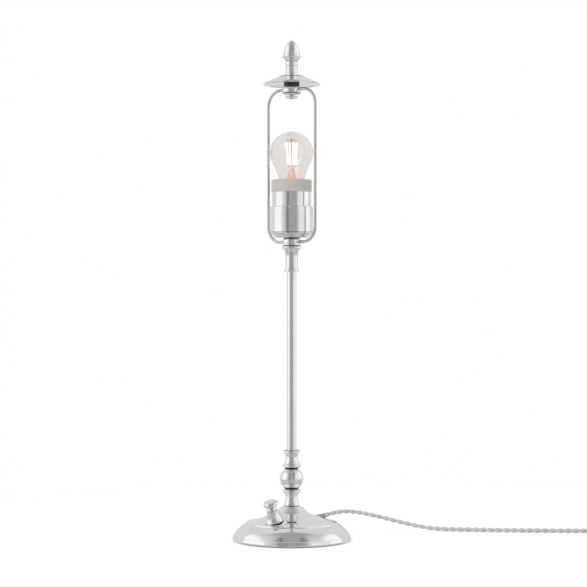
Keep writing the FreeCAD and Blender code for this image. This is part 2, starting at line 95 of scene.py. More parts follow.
def grey_ramp(tree, source, stops):
    """A colour ramp of greys: (place from 0 to 1, grey) pairs."""
    made = node(tree, "ShaderNodeValToRGB", links={"Fac": source})
    ramp = made.color_ramp
    while len(ramp.elements) < len(stops):
        ramp.elements.new(0.5)
    for element, (place, grey) in zip(ramp.elements, stops):
        element.position = place
        element.color = (grey, grey, grey, 1)
    return made.outputs["Color"]


def edge_of(tree, source, middle, soft):
    """A mask that rises from 0 to 1 about a value, over a soft width."""
    return node(tree, "ShaderNodeMapRange",
                {"From Min": middle - soft / 2, "From Max": middle + soft / 2},
                {"Value": source}, interpolation_type="SMOOTHSTEP").outputs["Result"]


def object_place(tree):
    """Where a point lies in its object, which is also its place in the lamp, in metres."""
    return node(tree, "ShaderNodeTexCoord").outputs["Object"]


def split(tree, vector):
    """The three numbers of a vector."""
    return node(tree, "ShaderNodeSeparateXYZ", links={0: vector}).outputs


world = bpy.data.worlds.new("studio")
scene.world = world
world.use_nodes = True
sky = world.node_tree
sky.nodes.clear()
east, north, high = split(sky, node(sky, "ShaderNodeTexCoord").outputs["Generated"])
aside = maths(sky, "MAXIMUM", maths(sky, "ABSOLUTE", east), 0.001)
behind = maths(sky, "DIVIDE", north, aside)
rise = maths(sky, "DIVIDE", high, aside)
on_right = edge_of(sky, east, 0.0, 0.002)

# Grey of the walls by compass angle in degrees, 0 at the camera and 90 on its right hand
WALL_GREYS = [
    (-180, 0.76), (-60, 0.78), (-50, 0.80), (-32, 0.52), (-26, 0.24), (-18, 0.24),
    (-14, 0.40), (26, 0.40), (34, 0.60), (43, 0.88), (80, 0.90), (90, 0.76), (180, 0.76),
]
compass = maths(sky, "ARCTAN2", east, maths(sky, "MULTIPLY", north, -1))
walls = grey_ramp(sky, maths(sky, "MULTIPLY_ADD", compass, 0.5 / math.pi, 0.5),
                  [(0.5 + angle / 360, grey) for angle, grey in WALL_GREYS])

# The screens' edges on the left and the right, as how far behind the lamp they lie over how
# far to its side. The near edge is upright; the far edge leans away with height, to a limit.
SCREEN_WHITE = (1.08, 1.08, 1.08)
NEAR_EDGE = (-0.65, -0.10)
FAR_EDGE_FOOT = (0.21, 0.40)
FAR_EDGE_LEAN = (0.65, 0.60)
FAR_EDGE_LIMIT = (0.62, 0.66)


def by_side(left, right):
    return maths(sky, "MULTIPLY_ADD", on_right, right - left, left)


leaning = maths(sky, "MULTIPLY_ADD", maths(sky, "MAXIMUM", rise, 0),
                by_side(*FAR_EDGE_LEAN), by_side(*FAR_EDGE_FOOT))
far_edge = maths(sky, "MINIMUM", by_side(*FAR_EDGE_LIMIT), leaning)
screen = maths(
    sky, "MULTIPLY",
    edge_of(sky, maths(sky, "SUBTRACT", behind, by_side(*NEAR_EDGE)), 0.0, 0.06),
    edge_of(sky, maths(sky, "SUBTRACT", far_edge, behind), 0.0, 0.08))
around = mixed(sky, screen, walls, SCREEN_WHITE)

# Grey of the ceiling by how far it lies to either side, over its height. It is darker towards
# the camera on either side, and paler behind the lamp.
CEILING_GREYS = [(0.0, 0.405), (0.20, 0.405), (0.29, 0.44), (0.40, 0.555), (0.59, 0.66),
                 (0.70, 0.70)]
CEILING_SHADE = 0.45
CEILING_BEHIND = 0.75
SCREEN_TOP = 1.10  # height over distance
sideways = maths(sky, "DIVIDE", aside, maths(sky, "MAXIMUM", high, 0.2))
shaded = maths(sky, "MULTIPLY", edge_of(sky, maths(sky, "MULTIPLY", behind, -1), 0.95, 0.5),
               edge_of(sky, sideways, 0.25, 0.10))
ceiling = maths(sky, "MULTIPLY", grey_ramp(sky, sideways, CEILING_GREYS),
                maths(sky, "MULTIPLY_ADD", shaded, -CEILING_SHADE, 1.0))
ceiling = maths(sky, "MAXIMUM", ceiling, maths(
    sky, "MULTIPLY", edge_of(sky, north, 0.15, 0.20), CEILING_BEHIND))
overhead = maths(sky, "MULTIPLY", edge_of(sky, rise, SCREEN_TOP, 0.60),
                 edge_of(sky, high, 0.42, 0.25))
above = mixed(sky, overhead, around, ceiling)

# The table is a dimmer grey than the walls, and paler behind the lamp
TABLE_GREY = 0.55
TABLE_BEHIND = 0.78
table = maths(sky, "MAXIMUM", maths(sky, "MINIMUM", around, TABLE_GREY), maths(
    sky, "MULTIPLY", edge_of(sky, north, 0.40, 0.40), TABLE_BEHIND))
below = edge_of(sky, maths(sky, "MULTIPLY", high, -1), 0.12, 0.20)
studio = node(sky, "ShaderNodeBackground", links={"Color": mixed(sky, below, above, table)})

# Only metal and glass see the studio; the rest is lit by an even fill, on a white background
rays = node(sky, "ShaderNodeLightPath").outputs
fill = node(sky, "ShaderNodeBackground", {"Color": (0.98, 0.99, 1.0, 1), "Strength": 0.80})
white = node(sky, "ShaderNodeBackground", {"Color": (1, 1, 1, 1), "Strength": 1.0})
by_metal = node(sky, "ShaderNodeMixShader", links={
    0: rays["Is Glossy Ray"], 1: fill.outputs[0], 2: studio.outputs[0]})
plain_view = maths(sky, "MAXIMUM", rays["Is Camera Ray"], rays["Is Transmission Ray"])
backdrop = node(sky, "ShaderNodeMixShader", links={
    0: plain_view, 1: by_metal.outputs[0], 2: white.outputs[0]})
node(sky, "ShaderNodeOutputWorld", links={"Surface": backdrop.outputs[0]})

KEY_AIM = Vector((0, 0, 0.2))
key = bpy.data.objects.new("key_softbox", bpy.data.lights.new("key_softbox", "AREA"))
key.data.shape = "SQUARE"
key.data.size = 1.2
key.data.energy = 9.0
key.location = (-0.9, -1.1, 1.7)
key.rotation_euler = (KEY_AIM - key.location).to_track_quat("-Z", "Y").to_euler()
key.visible_glossy = False
key.visible_camera = False
scene.collection.objects.link(key)


# Floor: a round sheet of white paper. Its rim fades out, so that no edge shows against the
# white surroundings, and the metal sees most of the dimmer studio table through it.
def mesh_piece(name, points, faces, smooth_below=40.0):
    """A mesh object from points and faces, smooth except along edges sharper than an angle."""
    mesh = bpy.data.meshes.new(name)
    mesh.from_pydata([tuple(p) for p in points], [], faces)
    mesh.validate()
    mesh.shade_smooth()
    mesh.set_sharp_from_angle(angle=math.radians(smooth_below))
    made = bpy.data.objects.new(name, mesh)
    scene.collection.objects.link(made)
    return made


FLOOR_R = 0.60
FLOOR_SIDES = 96
FLOOR_CENTRE = (0.12, 0.0)
FLOOR_TOP = -0.0002
FLOOR_GLOW = 0.34
SEEN_THROUGH = 0.75
around_floor = [2 * math.pi * k / FLOOR_SIDES for k in range(FLOOR_SIDES)]
floor = mesh_piece(
    "floor",
    [(FLOOR_CENTRE[0] + FLOOR_R * math.cos(angle), FLOOR_CENTRE[1] + FLOOR_R * math.sin(angle),
      FLOOR_TOP) for angle in around_floor],
    [tuple(range(FLOOR_SIDES))])
table_white = bpy.data.materials.new("table_white")
table_white.use_nodes = True
tree = table_white.node_tree
tree.nodes.clear()
path_of_ray = node(tree, "ShaderNodeLightPath").outputs
paper = node(tree, "ShaderNodeBsdfDiffuse", {"Color": (0.80, 0.80, 0.80, 1)})
glow = node(tree, "ShaderNodeEmission", links={
    "Strength": maths(tree, "MULTIPLY", path_of_ray["Is Camera Ray"], FLOOR_GLOW)})
both = node(tree, "ShaderNodeAddShader", links={0: paper.outputs[0], 1: glow.outputs[0]})
from_centre = node(tree, "ShaderNodeVectorMath", {1: (*FLOOR_CENTRE, 0)},
                   {0: object_place(tree)}, operation="DISTANCE").outputs["Value"]
see_through = maths(tree, "MAXIMUM", edge_of(tree, from_centre, FLOOR_R * 0.84, FLOOR_R * 0.28),
                    maths(tree, "MULTIPLY", path_of_ray["Is Glossy Ray"], SEEN_THROUGH))
faded = node(tree, "ShaderNodeMixShader", links={
    0: see_through, 1: both.outputs[0], 2: node(tree, "ShaderNodeBsdfTransparent").outputs[0]})
node(tree, "ShaderNodeOutputMaterial", links={"Surface": faded.outputs[0]})
floor.data.materials.append(table_white)


# Cord: two insulated cores, each in its own silver-grey textile braid, twisted round each
# other. It leaves the back of the base through a bush, crosses the table and is wound up
# beyond the view. The route's corners are those of the part's source, in metres.
CORD_WIDE = 0.005
CORE_R = 0.00132
CORE_APART = 0.00118
CORE_SIDES = 12
TWIST = 0.0165
CORD_ROUTE = [
    (0.0348, 0.0244, 0.0224), (0.0472, 0.0331, 0.0252), (0.0660, 0.0455, 0.0242),
    (0.0920, 0.0595, 0.0172), (0.1200, 0.0665, 0.0092), (0.1500, 0.0680, 0.0026),
    (0.1874, 0.0614, 0.0025), (0.2311, 0.0560, 0.0025), (0.2770, 0.0528, 0.0025),
    (0.3230, 0.0520, 0.0025), (0.3580, 0.0523, 0.0025),
]
TAIL_ROUTE = [(0.3950, 0.0090, 0.0075), (0.3900, -0.0110, 0.00685), (0.3900, -0.0280, 0.00685)]
COIL_CENTRE = (0.3600, 0.0123)
COIL_R = 0.040
COIL_TURNS = 8.25
POINTS_PER_TURN = 24


def passed(turn, start, end):
    """Share of the way from one turn count to another, from 0 to 1."""
    return min(max((turn - start) / (end - start), 0.0), 1.0)


def coil_point(turn):
    """The coil after so many turns from its back: inwards on the table, then out again on top."""
    inward = sum(passed(turn, k + 0.55, k + 1.0) for k in (0, 1, 2, 3))
    outward = sum(passed(turn, k + 0.40, k + 0.85) for k in (5, 6, 7))
    radius = COIL_R + CORD_WIDE * (outward - inward)
    # The spline cuts inside its corners, so these stand a little further out
    radius /= 0.75 + 0.25 * math.cos(2 * math.pi / POINTS_PER_TURN)
    angle = math.pi / 2 - 2 * math.pi * turn
    return (COIL_CENTRE[0] + radius * math.cos(angle), COIL_CENTRE[1] + radius * math.sin(angle),
            CORD_WIDE * (0.5 + passed(turn, 4.70, 4.85)))


coil = [coil_point(k / POINTS_PER_TURN) for k in range(1, int(COIL_TURNS * POINTS_PER_TURN) + 1)]
curve = bpy.data.curves.new("cord_line", "CURVE")
curve.dimensions = "3D"
curve.resolution_u = 10
spline = curve.splines.new("NURBS")
route = CORD_ROUTE + coil + TAIL_ROUTE
spline.points.add(len(route) - 1)
for place, point in zip(spline.points, route):
    place.co = (*point, 1)
spline.order_u = 3
spline.use_endpoint_u = True
line_object = bpy.data.objects.new("cord_line", curve)
scene.collection.objects.link(line_object)
bpy.context.view_layer.update()
line_mesh = bpy.data.meshes.new_from_object(line_object)
line = np.array([v.co for v in line_mesh.vertices])
bpy.data.objects.remove(line_object)


def evenly(points, step):
    """The same line with points at equal distances."""
    run = np.concatenate([[0], np.cumsum(np.linalg.norm(np.diff(points, axis=0), axis=1))])
    at = np.linspace(0, run[-1], int(run[-1] / step) + 1)
    return np.stack([np.interp(at, run, points[:, axis]) for axis in range(3)], axis=1)


def unit(vectors):
    return vectors / np.linalg.norm(vectors, axis=-1, keepdims=True)


def carried_normals(points):
    """The line's direction at each point, and one square to it that turns with the line only."""
    forward = unit(np.gradient(points, axis=0))
    normal = unit(np.cross(forward[0], (0, 0, 1)))
    carried = []
    for ahead in forward:
        normal = unit(normal - np.dot(normal, ahead) * ahead)
        carried.append(normal)
    return forward, np.array(carried)


def twisted_cores(points):
    """Points, faces and braid coordinates of two round cores wound round one line."""
    forward, normal = carried_normals(points)
    across = np.cross(forward, normal)
    run = np.linalg.norm(np.diff(points, axis=0), axis=1).mean() * np.arange(len(points))
    verts, faces, braid = [], [], []
    for core in (0, 1):
        turn = 2 * math.pi * run / TWIST + core * math.pi
        outward = normal * np.cos(turn)[:, None] + across * np.sin(turn)[:, None]
        middle = points + CORE_APART * outward
        ahead = unit(np.gradient(middle, axis=0))
        outward = unit(outward - (outward * ahead).sum(axis=1, keepdims=True) * ahead)
        upward = np.cross(ahead, outward)
        first = len(verts)
        for i, centre in enumerate(middle):
            for k in range(CORE_SIDES):
                angle = 2 * math.pi * k / CORE_SIDES
                verts.append(centre + CORE_R * (
                    outward[i] * math.cos(angle) + upward[i] * math.sin(angle)))
        for i in range(len(middle) - 1):
            here, there = first + i * CORE_SIDES, first + (i + 1) * CORE_SIDES
            for k in range(CORE_SIDES):
                after = (k + 1) % CORE_SIDES
                faces.append((here + k, here + after, there + after, there + k))
                ends = (k / CORE_SIDES, (k + 1) / CORE_SIDES)
                braid += [(run[i], ends[0]), (run[i], ends[1]),
                          (run[i + 1], ends[1]), (run[i + 1], ends[0])]
        last = first + (len(middle) - 1) * CORE_SIDES
        faces.append(tuple(range(first + CORE_SIDES - 1, first - 1, -1)))
        faces.append(tuple(range(last, last + CORE_SIDES)))
        braid += [(0, 0)] * (2 * CORE_SIDES)
    return verts, faces, braid


line = evenly(line, 0.001)
verts, faces, braid = twisted_cores(line)
cord = mesh_piece("twisted_cord", verts, faces, 60.0)
layer = cord.data.uv_layers.new(name="braid")
layer.data.foreach_set("uv", [value for pair in braid for value in pair])


def shared_effect(name, inputs, outputs):
    """A node group with named number sockets: its tree, what comes in and what goes out."""
    group = bpy.data.node_groups.new(name, "ShaderNodeTree")
    for socket, value in inputs.items():
        made = group.interface.new_socket(
            socket, in_out="INPUT", socket_type="NodeSocketFloat")
        made.default_value = value
    for socket in outputs:
        group.interface.new_socket(socket, in_out="OUTPUT", socket_type="NodeSocketFloat")
    return (group, group.nodes.new("NodeGroupInput").outputs,
            group.nodes.new("NodeGroupOutput").inputs)


def placed(tree, group, **values):
    """What one use of a shared effect puts out, with its own values."""
    made = node(tree, "ShaderNodeGroup", node_tree=group)
    for socket, value in values.items():
        made.inputs[socket].default_value = value
    return made.outputs


def new_finish(name, colour, roughness, metallic=0.0, sockets=()):
    """A material and its Principled shader, with its constant values on the shader."""
    material = bpy.data.materials.new(name)
    material.use_nodes = True
    shader = material.node_tree.nodes["Principled BSDF"]
    shader.inputs["Base Color"].default_value = (*colour, 1)
    shader.inputs["Roughness"].default_value = roughness
    shader.inputs["Metallic"].default_value = metallic
    for socket, value in dict(sockets).items():
        shader.inputs[socket].default_value = value
    return material, material.node_tree, shader


def bumped(tree, shader, height, strength, distance):
    """Feeds a height to the shader through a Bump node."""
    bump = node(tree, "ShaderNodeBump", {"Strength": strength, "Distance": distance},
                {"Height": height})
    tree.links.new(bump.outputs[0], shader.inputs["Normal"])


def tinted(tree, shader, mask, first, second):
    """Base colour from one tint to another, by a mask."""
    tree.links.new(mixed(tree, mask, first, second), shader.inputs["Base Color"])


# Loose fibres and uneven dye, on every textile: cord braid, felt and tie
fibres, given, leave = shared_effect(
    "textile_fibres", {"Fineness": 4000.0, "Patches": 60.0}, ("Height", "Shade"))
spot = object_place(fibres)
fine = node(fibres, "ShaderNodeTexNoise", {"Detail": 3.0, "Roughness": 0.7},
            {"Vector": spot, "Scale": given["Fineness"]}).outputs[0]
wide = node(fibres, "ShaderNodeTexNoise", {"Detail": 2.0},
            {"Vector": spot, "Scale": given["Patches"]}).outputs[0]
fibres.links.new(fine, leave["Height"])
fibres.links.new(maths(fibres, "ADD", maths(fibres, "MULTIPLY", fine, 0.5),
                       maths(fibres, "MULTIPLY", wide, 0.5)), leave["Shade"])

PICKS = 700.0  # crossings of the braid's threads to a metre of core
CARRIERS = 8.0  # threads each way round a core
silver_braid, tree, shader = new_finish(
    "silver_braid", (0.56, 0.55, 0.53), 0.55,
    sockets={"Sheen Weight": 0.25, "Sheen Roughness": 0.4, "Specular IOR Level": 0.35})
run, round_core, _ = split(tree, node(tree, "ShaderNodeUVMap", uv_map="braid").outputs[0])
threads = [
    maths(tree, "SINE", maths(tree, "MULTIPLY_ADD", run, 2 * math.pi * PICKS, maths(
        tree, "MULTIPLY", round_core, way * 2 * math.pi * CARRIERS)))
    for way in (-1, 1)
]
weave = maths(tree, "MULTIPLY_ADD", maths(tree, "MAXIMUM", *threads), 0.4, 0.6)
fluff = placed(tree, fibres, Fineness=6000.0, Patches=90.0)
bumped(tree, shader, maths(tree, "MULTIPLY_ADD", fluff["Height"], 0.4, weave), 0.5, 0.0001)
# Tint: darker where the threads cross, as painted shade in the braid's grooves, and patchy with
# uneven dye
tinted(tree, shader,
       maths(tree, "MULTIPLY_ADD", weave, 0.6, maths(tree, "MULTIPLY", fluff["Shade"], 0.5)),
       (0.42, 0.415, 0.405), (0.82, 0.81, 0.79))
cord.data.materials.append(silver_braid)
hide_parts("cord_tube", "cord_coil", "cord_tail")
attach(cord, "lamp")


# Cord bush: a moulded sleeve of grey rubber, pushed through a hole in the back of the bell. It
# tapers onto the cord, and keeps it from chafing on the edge of the sheet.
def lathed(name, outline, place=Matrix.Identity(4), sides=64, smooth_below=35.0):
    """A turned mesh from (radius, height) pairs in mm, closed where the radius is 0."""
    points, faces, rings = [], [], []
    for radius, height in outline:
        first = len(points)
        count = 1 if radius == 0 else sides
        for k in range(count):
            angle = 2 * math.pi * k / sides
            points.append(place @ (Vector((
                radius * math.cos(angle), radius * math.sin(angle), height)) * 0.001))
        rings.append((first, count))
    for (low, low_count), (high, high_count) in zip(rings, rings[1:]):
        for k in range(sides):
            after = (k + 1) % sides
            corners = [low + k % low_count, low + after % low_count,
                       high + after % high_count, high + k % high_count]
            face = list(dict.fromkeys(corners))
            if len(face) > 2:
                faces.append(face)
    return mesh_piece(name, points, faces, smooth_below)


def standing(at, direction):
    """The place of a piece whose own Z axis points along a direction."""
    turn = Vector(direction).normalized().to_track_quat("Z", "Y").to_matrix().to_4x4()
    return Matrix.Translation(at) @ turn


exit_at = Vector(CORD_ROUTE[0])
exit_way = Vector(CORD_ROUTE[1]) - exit_at
bush = lathed("cord_bush_sleeve", [
    (0, -22), (2.9, -22), (3.5, -21.4), (3.5, -13.6), (3.2, -13.2), (3.2, -12.4), (3.5, -12.0),
    (3.45, -9.8), (3.1, -7.6), (2.85, -7.2), (2.85, -6.6), (3.0, -6.3), (2.85, -4.2),
    (2.65, -3.9), (2.65, -3.3), (2.75, -3.0), (2.6, -0.4), (2.45, 0), (0, 0),
], standing(exit_at, exit_way))

# Rubbed edges and fine dust, on moulded, fired and painted parts
rubbed, given, leave = shared_effect("rubbed_edges", {"Reach": 0.06}, ("Edge", "Dust"))
sharpness = node(rubbed, "ShaderNodeNewGeometry").outputs["Pointiness"]
grain = node(rubbed, "ShaderNodeTexNoise", {"Scale": 900.0, "Detail": 4.0},
             {"Vector": object_place(rubbed)}).outputs[0]
ragged = maths(rubbed, "MULTIPLY", maths(rubbed, "SUBTRACT", grain, 0.5), 0.03)
edge = node(rubbed, "ShaderNodeMapRange", {"From Min": 0.5}, {
    "Value": maths(rubbed, "ADD", sharpness, ragged),
    "From Max": maths(rubbed, "ADD", given["Reach"], 0.5)})
rubbed.links.new(edge.outputs[0], leave["Edge"])
rubbed.links.new(grain, leave["Dust"])


def dusted(name, colour, roughness, first, second, metallic=0.0, bump=0.0, deep=0.0001):
    """A finish whose tint, and surface if it has a bump, vary with fine dust."""
    material, tree, shader = new_finish(name, colour, roughness, metallic)
    dust = placed(tree, rubbed)["Dust"]
    tinted(tree, shader, dust, first, second)
    if bump:
        bumped(tree, shader, dust, bump, deep)
    return material


grey_rubber = dusted("grey_rubber", (0.40, 0.395, 0.385), 0.62,
                     (0.34, 0.335, 0.328), (0.47, 0.462, 0.45), bump=0.25)
bush.data.materials.append(grey_rubber)
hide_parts("cord_bush")
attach(bush, "lamp")


# Plug: a flat two-pin mains plug moulded onto the cord in black plastic, with finger hollows
# and a ringed neck; its two round pins are brass with an insulating sleeve at the root.
PLUG_BACK = Vector(TAIL_ROUTE[-1])
PLUG_LONG = 36.0
PIN_APART = 18.6
PLUG_SIDES = 64
PLUG_SECTIONS = [
    # distance from the neck's end, half width, half height, squareness; mm
    (0.0, 3.1, 3.1, 2.0), (0.5, 3.8, 3.8, 2.0), (2.0, 3.9, 3.9, 2.0), (2.3, 3.3, 3.3, 2.0),
    (3.3, 3.3, 3.3, 2.0), (3.6, 4.1, 4.0, 2.0), (5.2, 4.3, 4.2, 2.0), (5.5, 3.6, 3.6, 2.0),
    (6.5, 3.6, 3.6, 2.0), (6.8, 4.7, 4.5, 2.1), (8.4, 4.9, 4.7, 2.1), (8.7, 4.2, 4.1, 2.1),
    (9.7, 4.3, 4.1, 2.1), (10.0, 5.4, 5.0, 2.2), (12.5, 6.7, 5.6, 2.3), (15.0, 9.4, 6.2, 2.5),
    (18.0, 13.6, 6.6, 2.8), (20.5, 16.0, 6.75, 3.2), (22.5, 16.5, 6.3, 3.5),
    (25.0, 16.8, 6.0, 3.6), (29.0, 17.1, 6.1, 3.6), (31.5, 17.4, 6.7, 3.6),
    (34.6, 17.5, 6.8, 3.8), (35.6, 17.2, 6.6, 3.8), (36.0, 16.6, 6.1, 3.8),
]


def rounded_section(half_wide, half_high, squareness, k):
    """One corner of a rounded rectangle; squareness 2 is an ellipse."""
    angle = 2 * math.pi * k / PLUG_SIDES
    c, s = math.cos(angle), math.sin(angle)
    return (math.copysign(abs(c) ** (2 / squareness), c) * half_wide,
            math.copysign(abs(s) ** (2 / squareness), s) * half_high)


points, faces = [], []
for distance, half_wide, half_high, squareness in PLUG_SECTIONS:
    for k in range(PLUG_SIDES):
        x, z = rounded_section(half_wide, half_high, squareness, k)
        points.append(PLUG_BACK + Vector((x, -distance, z)) * 0.001)
for i in range(len(PLUG_SECTIONS) - 1):
    here, there = i * PLUG_SIDES, (i + 1) * PLUG_SIDES
    for k in range(PLUG_SIDES):
        after = (k + 1) % PLUG_SIDES
        faces.append((here + k, there + k, there + after, here + after))
faces.append(tuple(range(PLUG_SIDES)))
faces.append(tuple(range(len(points) - 1, len(points) - 1 - PLUG_SIDES, -1)))
plug = mesh_piece("plug_moulding", points, faces, 38.0)
moulded_black, tree, shader = new_finish("moulded_black", (0.03, 0.03, 0.031), 0.42)
wear = placed(tree, rubbed, Reach=0.09)
tinted(tree, shader, maths(tree, "MULTIPLY_ADD", wear["Edge"], 0.6, maths(
    tree, "MULTIPLY", wear["Dust"], 0.25)), (0.02, 0.02, 0.021), (0.11, 0.108, 0.105))
bumped(tree, shader, wear["Dust"], 0.12, 0.0001)
plug.data.materials.append(moulded_black)
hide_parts("plug_body")
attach(plug, "lamp")


def joined(name, *pieces):
    """One object from several."""
    with bpy.context.temp_override(active_object=pieces[0],
                                   selected_editable_objects=list(pieces)):
        bpy.ops.object.join()
    pieces[0].name = name
    return pieces[0]


pin_roots = [PLUG_BACK + Vector((side * PIN_APART / 2, -PLUG_LONG, 0)) * 0.001
             for side in (-1, 1)]
pins = joined("plug_pin_metal", *[lathed("pin", [
    (0, -2), (1.7, -2), (1.7, 9.6), (1.98, 9.7), (1.98, 17.9), (1.75, 18.6), (1.15, 18.95),
    (0, 19.0),
], standing(root, (0, -1, 0)), 40) for root in pin_roots])
sleeves = joined("plug_pin_sleeves", *[lathed("sleeve", [
    (1.72, -0.5), (1.95, -0.5), (1.95, 9.4), (1.86, 9.7), (1.72, 9.7), (1.72, -0.5),
], standing(root, (0, -1, 0)), 40) for root in pin_roots])

# Finger marks, wiping marks and hair scratches: uneven gloss, and a faint haze
handled, given, leave = shared_effect(
    "handling_marks", {"Gloss": 0.10, "Unevenness": 0.08}, ("Roughness", "Haze"))
spot = object_place(handled)
smears = node(handled, "ShaderNodeTexNoise", {"Scale": 45.0, "Detail": 4.0, "Distortion": 1.2},
              {"Vector": spot}).outputs[0]
wiped = node(handled, "ShaderNodeVectorMath", {1: (900.0, 900.0, 60.0)}, {0: spot},
             operation="MULTIPLY").outputs[0]
hairs = node(handled, "ShaderNodeTexNoise", {"Scale": 1.0, "Detail": 3.0},
             {"Vector": wiped}).outputs[0]
scratch = node(handled, "ShaderNodeMapRange", {"From Min": 0.62, "From Max": 0.75},
               {"Value": hairs}).outputs[0]
haze = node(handled, "ShaderNodeMapRange", {"From Min": 0.45, "From Max": 0.75},
            {"Value": smears}).outputs[0]
uneven = maths(handled, "MULTIPLY_ADD", scratch, 0.6, haze)
handled.links.new(maths(handled, "MULTIPLY_ADD", uneven, given["Unevenness"], given["Gloss"]),
                  leave["Roughness"])
handled.links.new(haze, leave["Haze"])


def marked(tree, shader, gloss, unevenness):
    """Gives the shader uneven gloss, and returns where its haze lies."""
    marks = placed(tree, handled, Gloss=gloss, Unevenness=unevenness)
    tree.links.new(marks["Roughness"], shader.inputs["Roughness"])
    return marks["Haze"]


rolled_brass, tree, shader = new_finish("rolled_brass", (0.78, 0.60, 0.32), 0.28, 1.0)
tinted(tree, shader, marked(tree, shader, 0.24, 0.2), (0.80, 0.63, 0.35), (0.58, 0.42, 0.22))
pins.data.materials.append(rolled_brass)
sleeves.data.materials.append(moulded_black)
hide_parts("plug_pins")
for piece in (pins, sleeves):
    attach(piece, "lamp")


# Coil tie: a strip of black hook-and-loop tape wrapped once round the wound-up cord and
# pressed closed on itself.
TIE_WIDE = 8.0
TIE_THICK = 0.55
# Outside of the loop as (x, z) in mm, from the coil's centre and the table
TIE_LOOP = [(-42.3, 0.3), (-42.4, 5.0), (-41.0, 6.6), (-38.2, 9.6), (-36.6, 9.95),
            (-19.6, 9.95), (-17.9, 9.2), (-17.6, 7.5), (-17.6, 1.4), (-18.3, 0.3)]
tie_corners = len(TIE_LOOP)
tie_inside = []
for i, (x, z) in enumerate(TIE_LOOP):
    before, after = TIE_LOOP[i - 1], TIE_LOOP[(i + 1) % tie_corners]
    ahead = Vector((after[0] - before[0], after[1] - before[1])).normalized()
    tie_inside.append((x + ahead.y * TIE_THICK, z - ahead.x * TIE_THICK))
points = [(COIL_CENTRE[0] + x * 0.001, COIL_CENTRE[1] + y * 0.001, z * 0.001)
          for loop in (TIE_LOOP, tie_inside) for y in (-TIE_WIDE / 2, TIE_WIDE / 2)
          for x, z in loop]
outer_near, outer_far, inner_near, inner_far = (k * tie_corners for k in range(4))
faces = []
for i in range(tie_corners):
    after = (i + 1) % tie_corners
    for a, b in ((outer_near, outer_far), (inner_far, inner_near),
                 (inner_near, outer_near), (outer_far, inner_far)):
        faces.append((a + i, a + after, b + after, b + i))
tie = mesh_piece("coil_tie_strip", points, faces, 50.0)
hook_tape, tree, shader = new_finish("hook_tape", (0.05, 0.05, 0.05), 0.9,
                                     sockets={"Sheen Weight": 0.4})
fluff = placed(tree, fibres, Fineness=2500.0, Patches=300.0)
bumped(tree, shader, fluff["Height"], 0.8, 0.0004)
tinted(tree, shader, fluff["Shade"], (0.02, 0.02, 0.02), (0.09, 0.09, 0.09))
tie.data.materials.append(hook_tape)
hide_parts("coil_tie")
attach(tie, "lamp")


# Base: a bell spun from brass sheet and nickel plated, polished bright. It hides a cast iron
# weight; a zinc-plated steel cover is screwed under it and faced with grey felt.
def dress(material, *names):
    """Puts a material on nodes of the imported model."""
    for name in names:
        for place in parts[name].material_slots:
            place.material = material


# Fine rings left by the lathe and the polishing wheel, about the lamp's own axis
rings, given, leave = shared_effect("turning_rings", {"Lines": 3000.0}, ("Height",))
x, y, z = split(rings, object_place(rings))
radius = maths(rings, "SQRT", maths(rings, "ADD", maths(rings, "MULTIPLY", x, x),
                                    maths(rings, "MULTIPLY", y, y)))
line_count = maths(rings, "MULTIPLY", maths(rings, "MULTIPLY_ADD", z, 1.37, radius),
                   given["Lines"])
ring_noise = node(rings, "ShaderNodeTexNoise", {"Scale": 1.0, "Detail": 2.0},
                  {"W": line_count}, noise_dimensions="1D")
rings.links.new(ring_noise.outputs[0], leave["Height"])

# Painted shade and reflection where two pieces meet: a thin dark line at one height, standing for
# the shade in the groove between them and its reflection on nearby steps
JOINT_SHADE_DARK = (0.05, 0.048, 0.045)
joint_shade_group, given, leave = shared_effect("painted_joint_shade", {"Height": 0.0, "Width": 0.0004}, ("Line",))
_, _, z = split(joint_shade_group, object_place(joint_shade_group))
off = maths(joint_shade_group, "DIVIDE", maths(joint_shade_group, "ABSOLUTE", maths(
    joint_shade_group, "SUBTRACT", z, given["Height"])), given["Width"])
joint_shade_group.links.new(maths(joint_shade_group, "SUBTRACT", 1.0, edge_of(joint_shade_group, off, 0.75, 0.5)), leave["Line"])


def nickel(name, lines, gloss=0.045, ring_depth=0.05, clean=0.86, joints=()):
    """Polished nickel plate, with rings as coarse or fine as how the piece was made. Joints
    are the (height, width) of painted shade lines where pieces meet, in mm."""
    material, tree, shader = new_finish(name, (clean, clean, clean * 0.985), gloss, 1.0)
    tinted(tree, shader, marked(tree, shader, gloss, 0.05),
           (clean * 1.01, clean * 1.008, clean), (clean * 0.94, clean * 0.93, clean * 0.91))
    if joints:
        tone = shader.inputs["Base Color"].links[0].from_socket
        dark_lines = [placed(tree, joint_shade_group, Height=height * 0.001, Width=wide * 0.001)["Line"]
                      for height, wide in joints]
        joint_shade_mask = dark_lines[0]
        for other in dark_lines[1:]:
            joint_shade_mask = maths(tree, "MAXIMUM", joint_shade_mask, other)
        # Painted shade: dark lines at the joints
        tinted(tree, shader, joint_shade_mask, tone, JOINT_SHADE_DARK)
    bumped(tree, shader, placed(tree, rings, Lines=lines)["Height"], ring_depth, 0.0001)
    return material


# Rings to a metre, by how a piece was made
SPUN_LINES, TURNED_LINES, DRAWN_LINES, BENT_LINES = 1400.0, 2600.0, 5200.0, 900.0
spun_nickel = nickel("spun_nickel", SPUN_LINES)
dress(spun_nickel, "base_shell")

zinc_plate, tree, shader = new_finish("zinc_plate", (0.62, 0.63, 0.62), 0.34, 1.0)
tinted(tree, shader, marked(tree, shader, 0.30, 0.15), (0.66, 0.67, 0.66), (0.55, 0.57, 0.54))
dress(zinc_plate, "base_cover", "cover_screws", "bottom_washer", "bottom_nut")

painted_iron, tree, shader = new_finish("painted_iron", (0.06, 0.06, 0.062), 0.55)
wear = placed(tree, rubbed, Reach=0.05)
tinted(tree, shader, wear["Edge"], (0.05, 0.05, 0.052), (0.24, 0.22, 0.20))
bumped(tree, shader, wear["Dust"], 0.6, 0.0006)
dress(painted_iron, "base_weight")

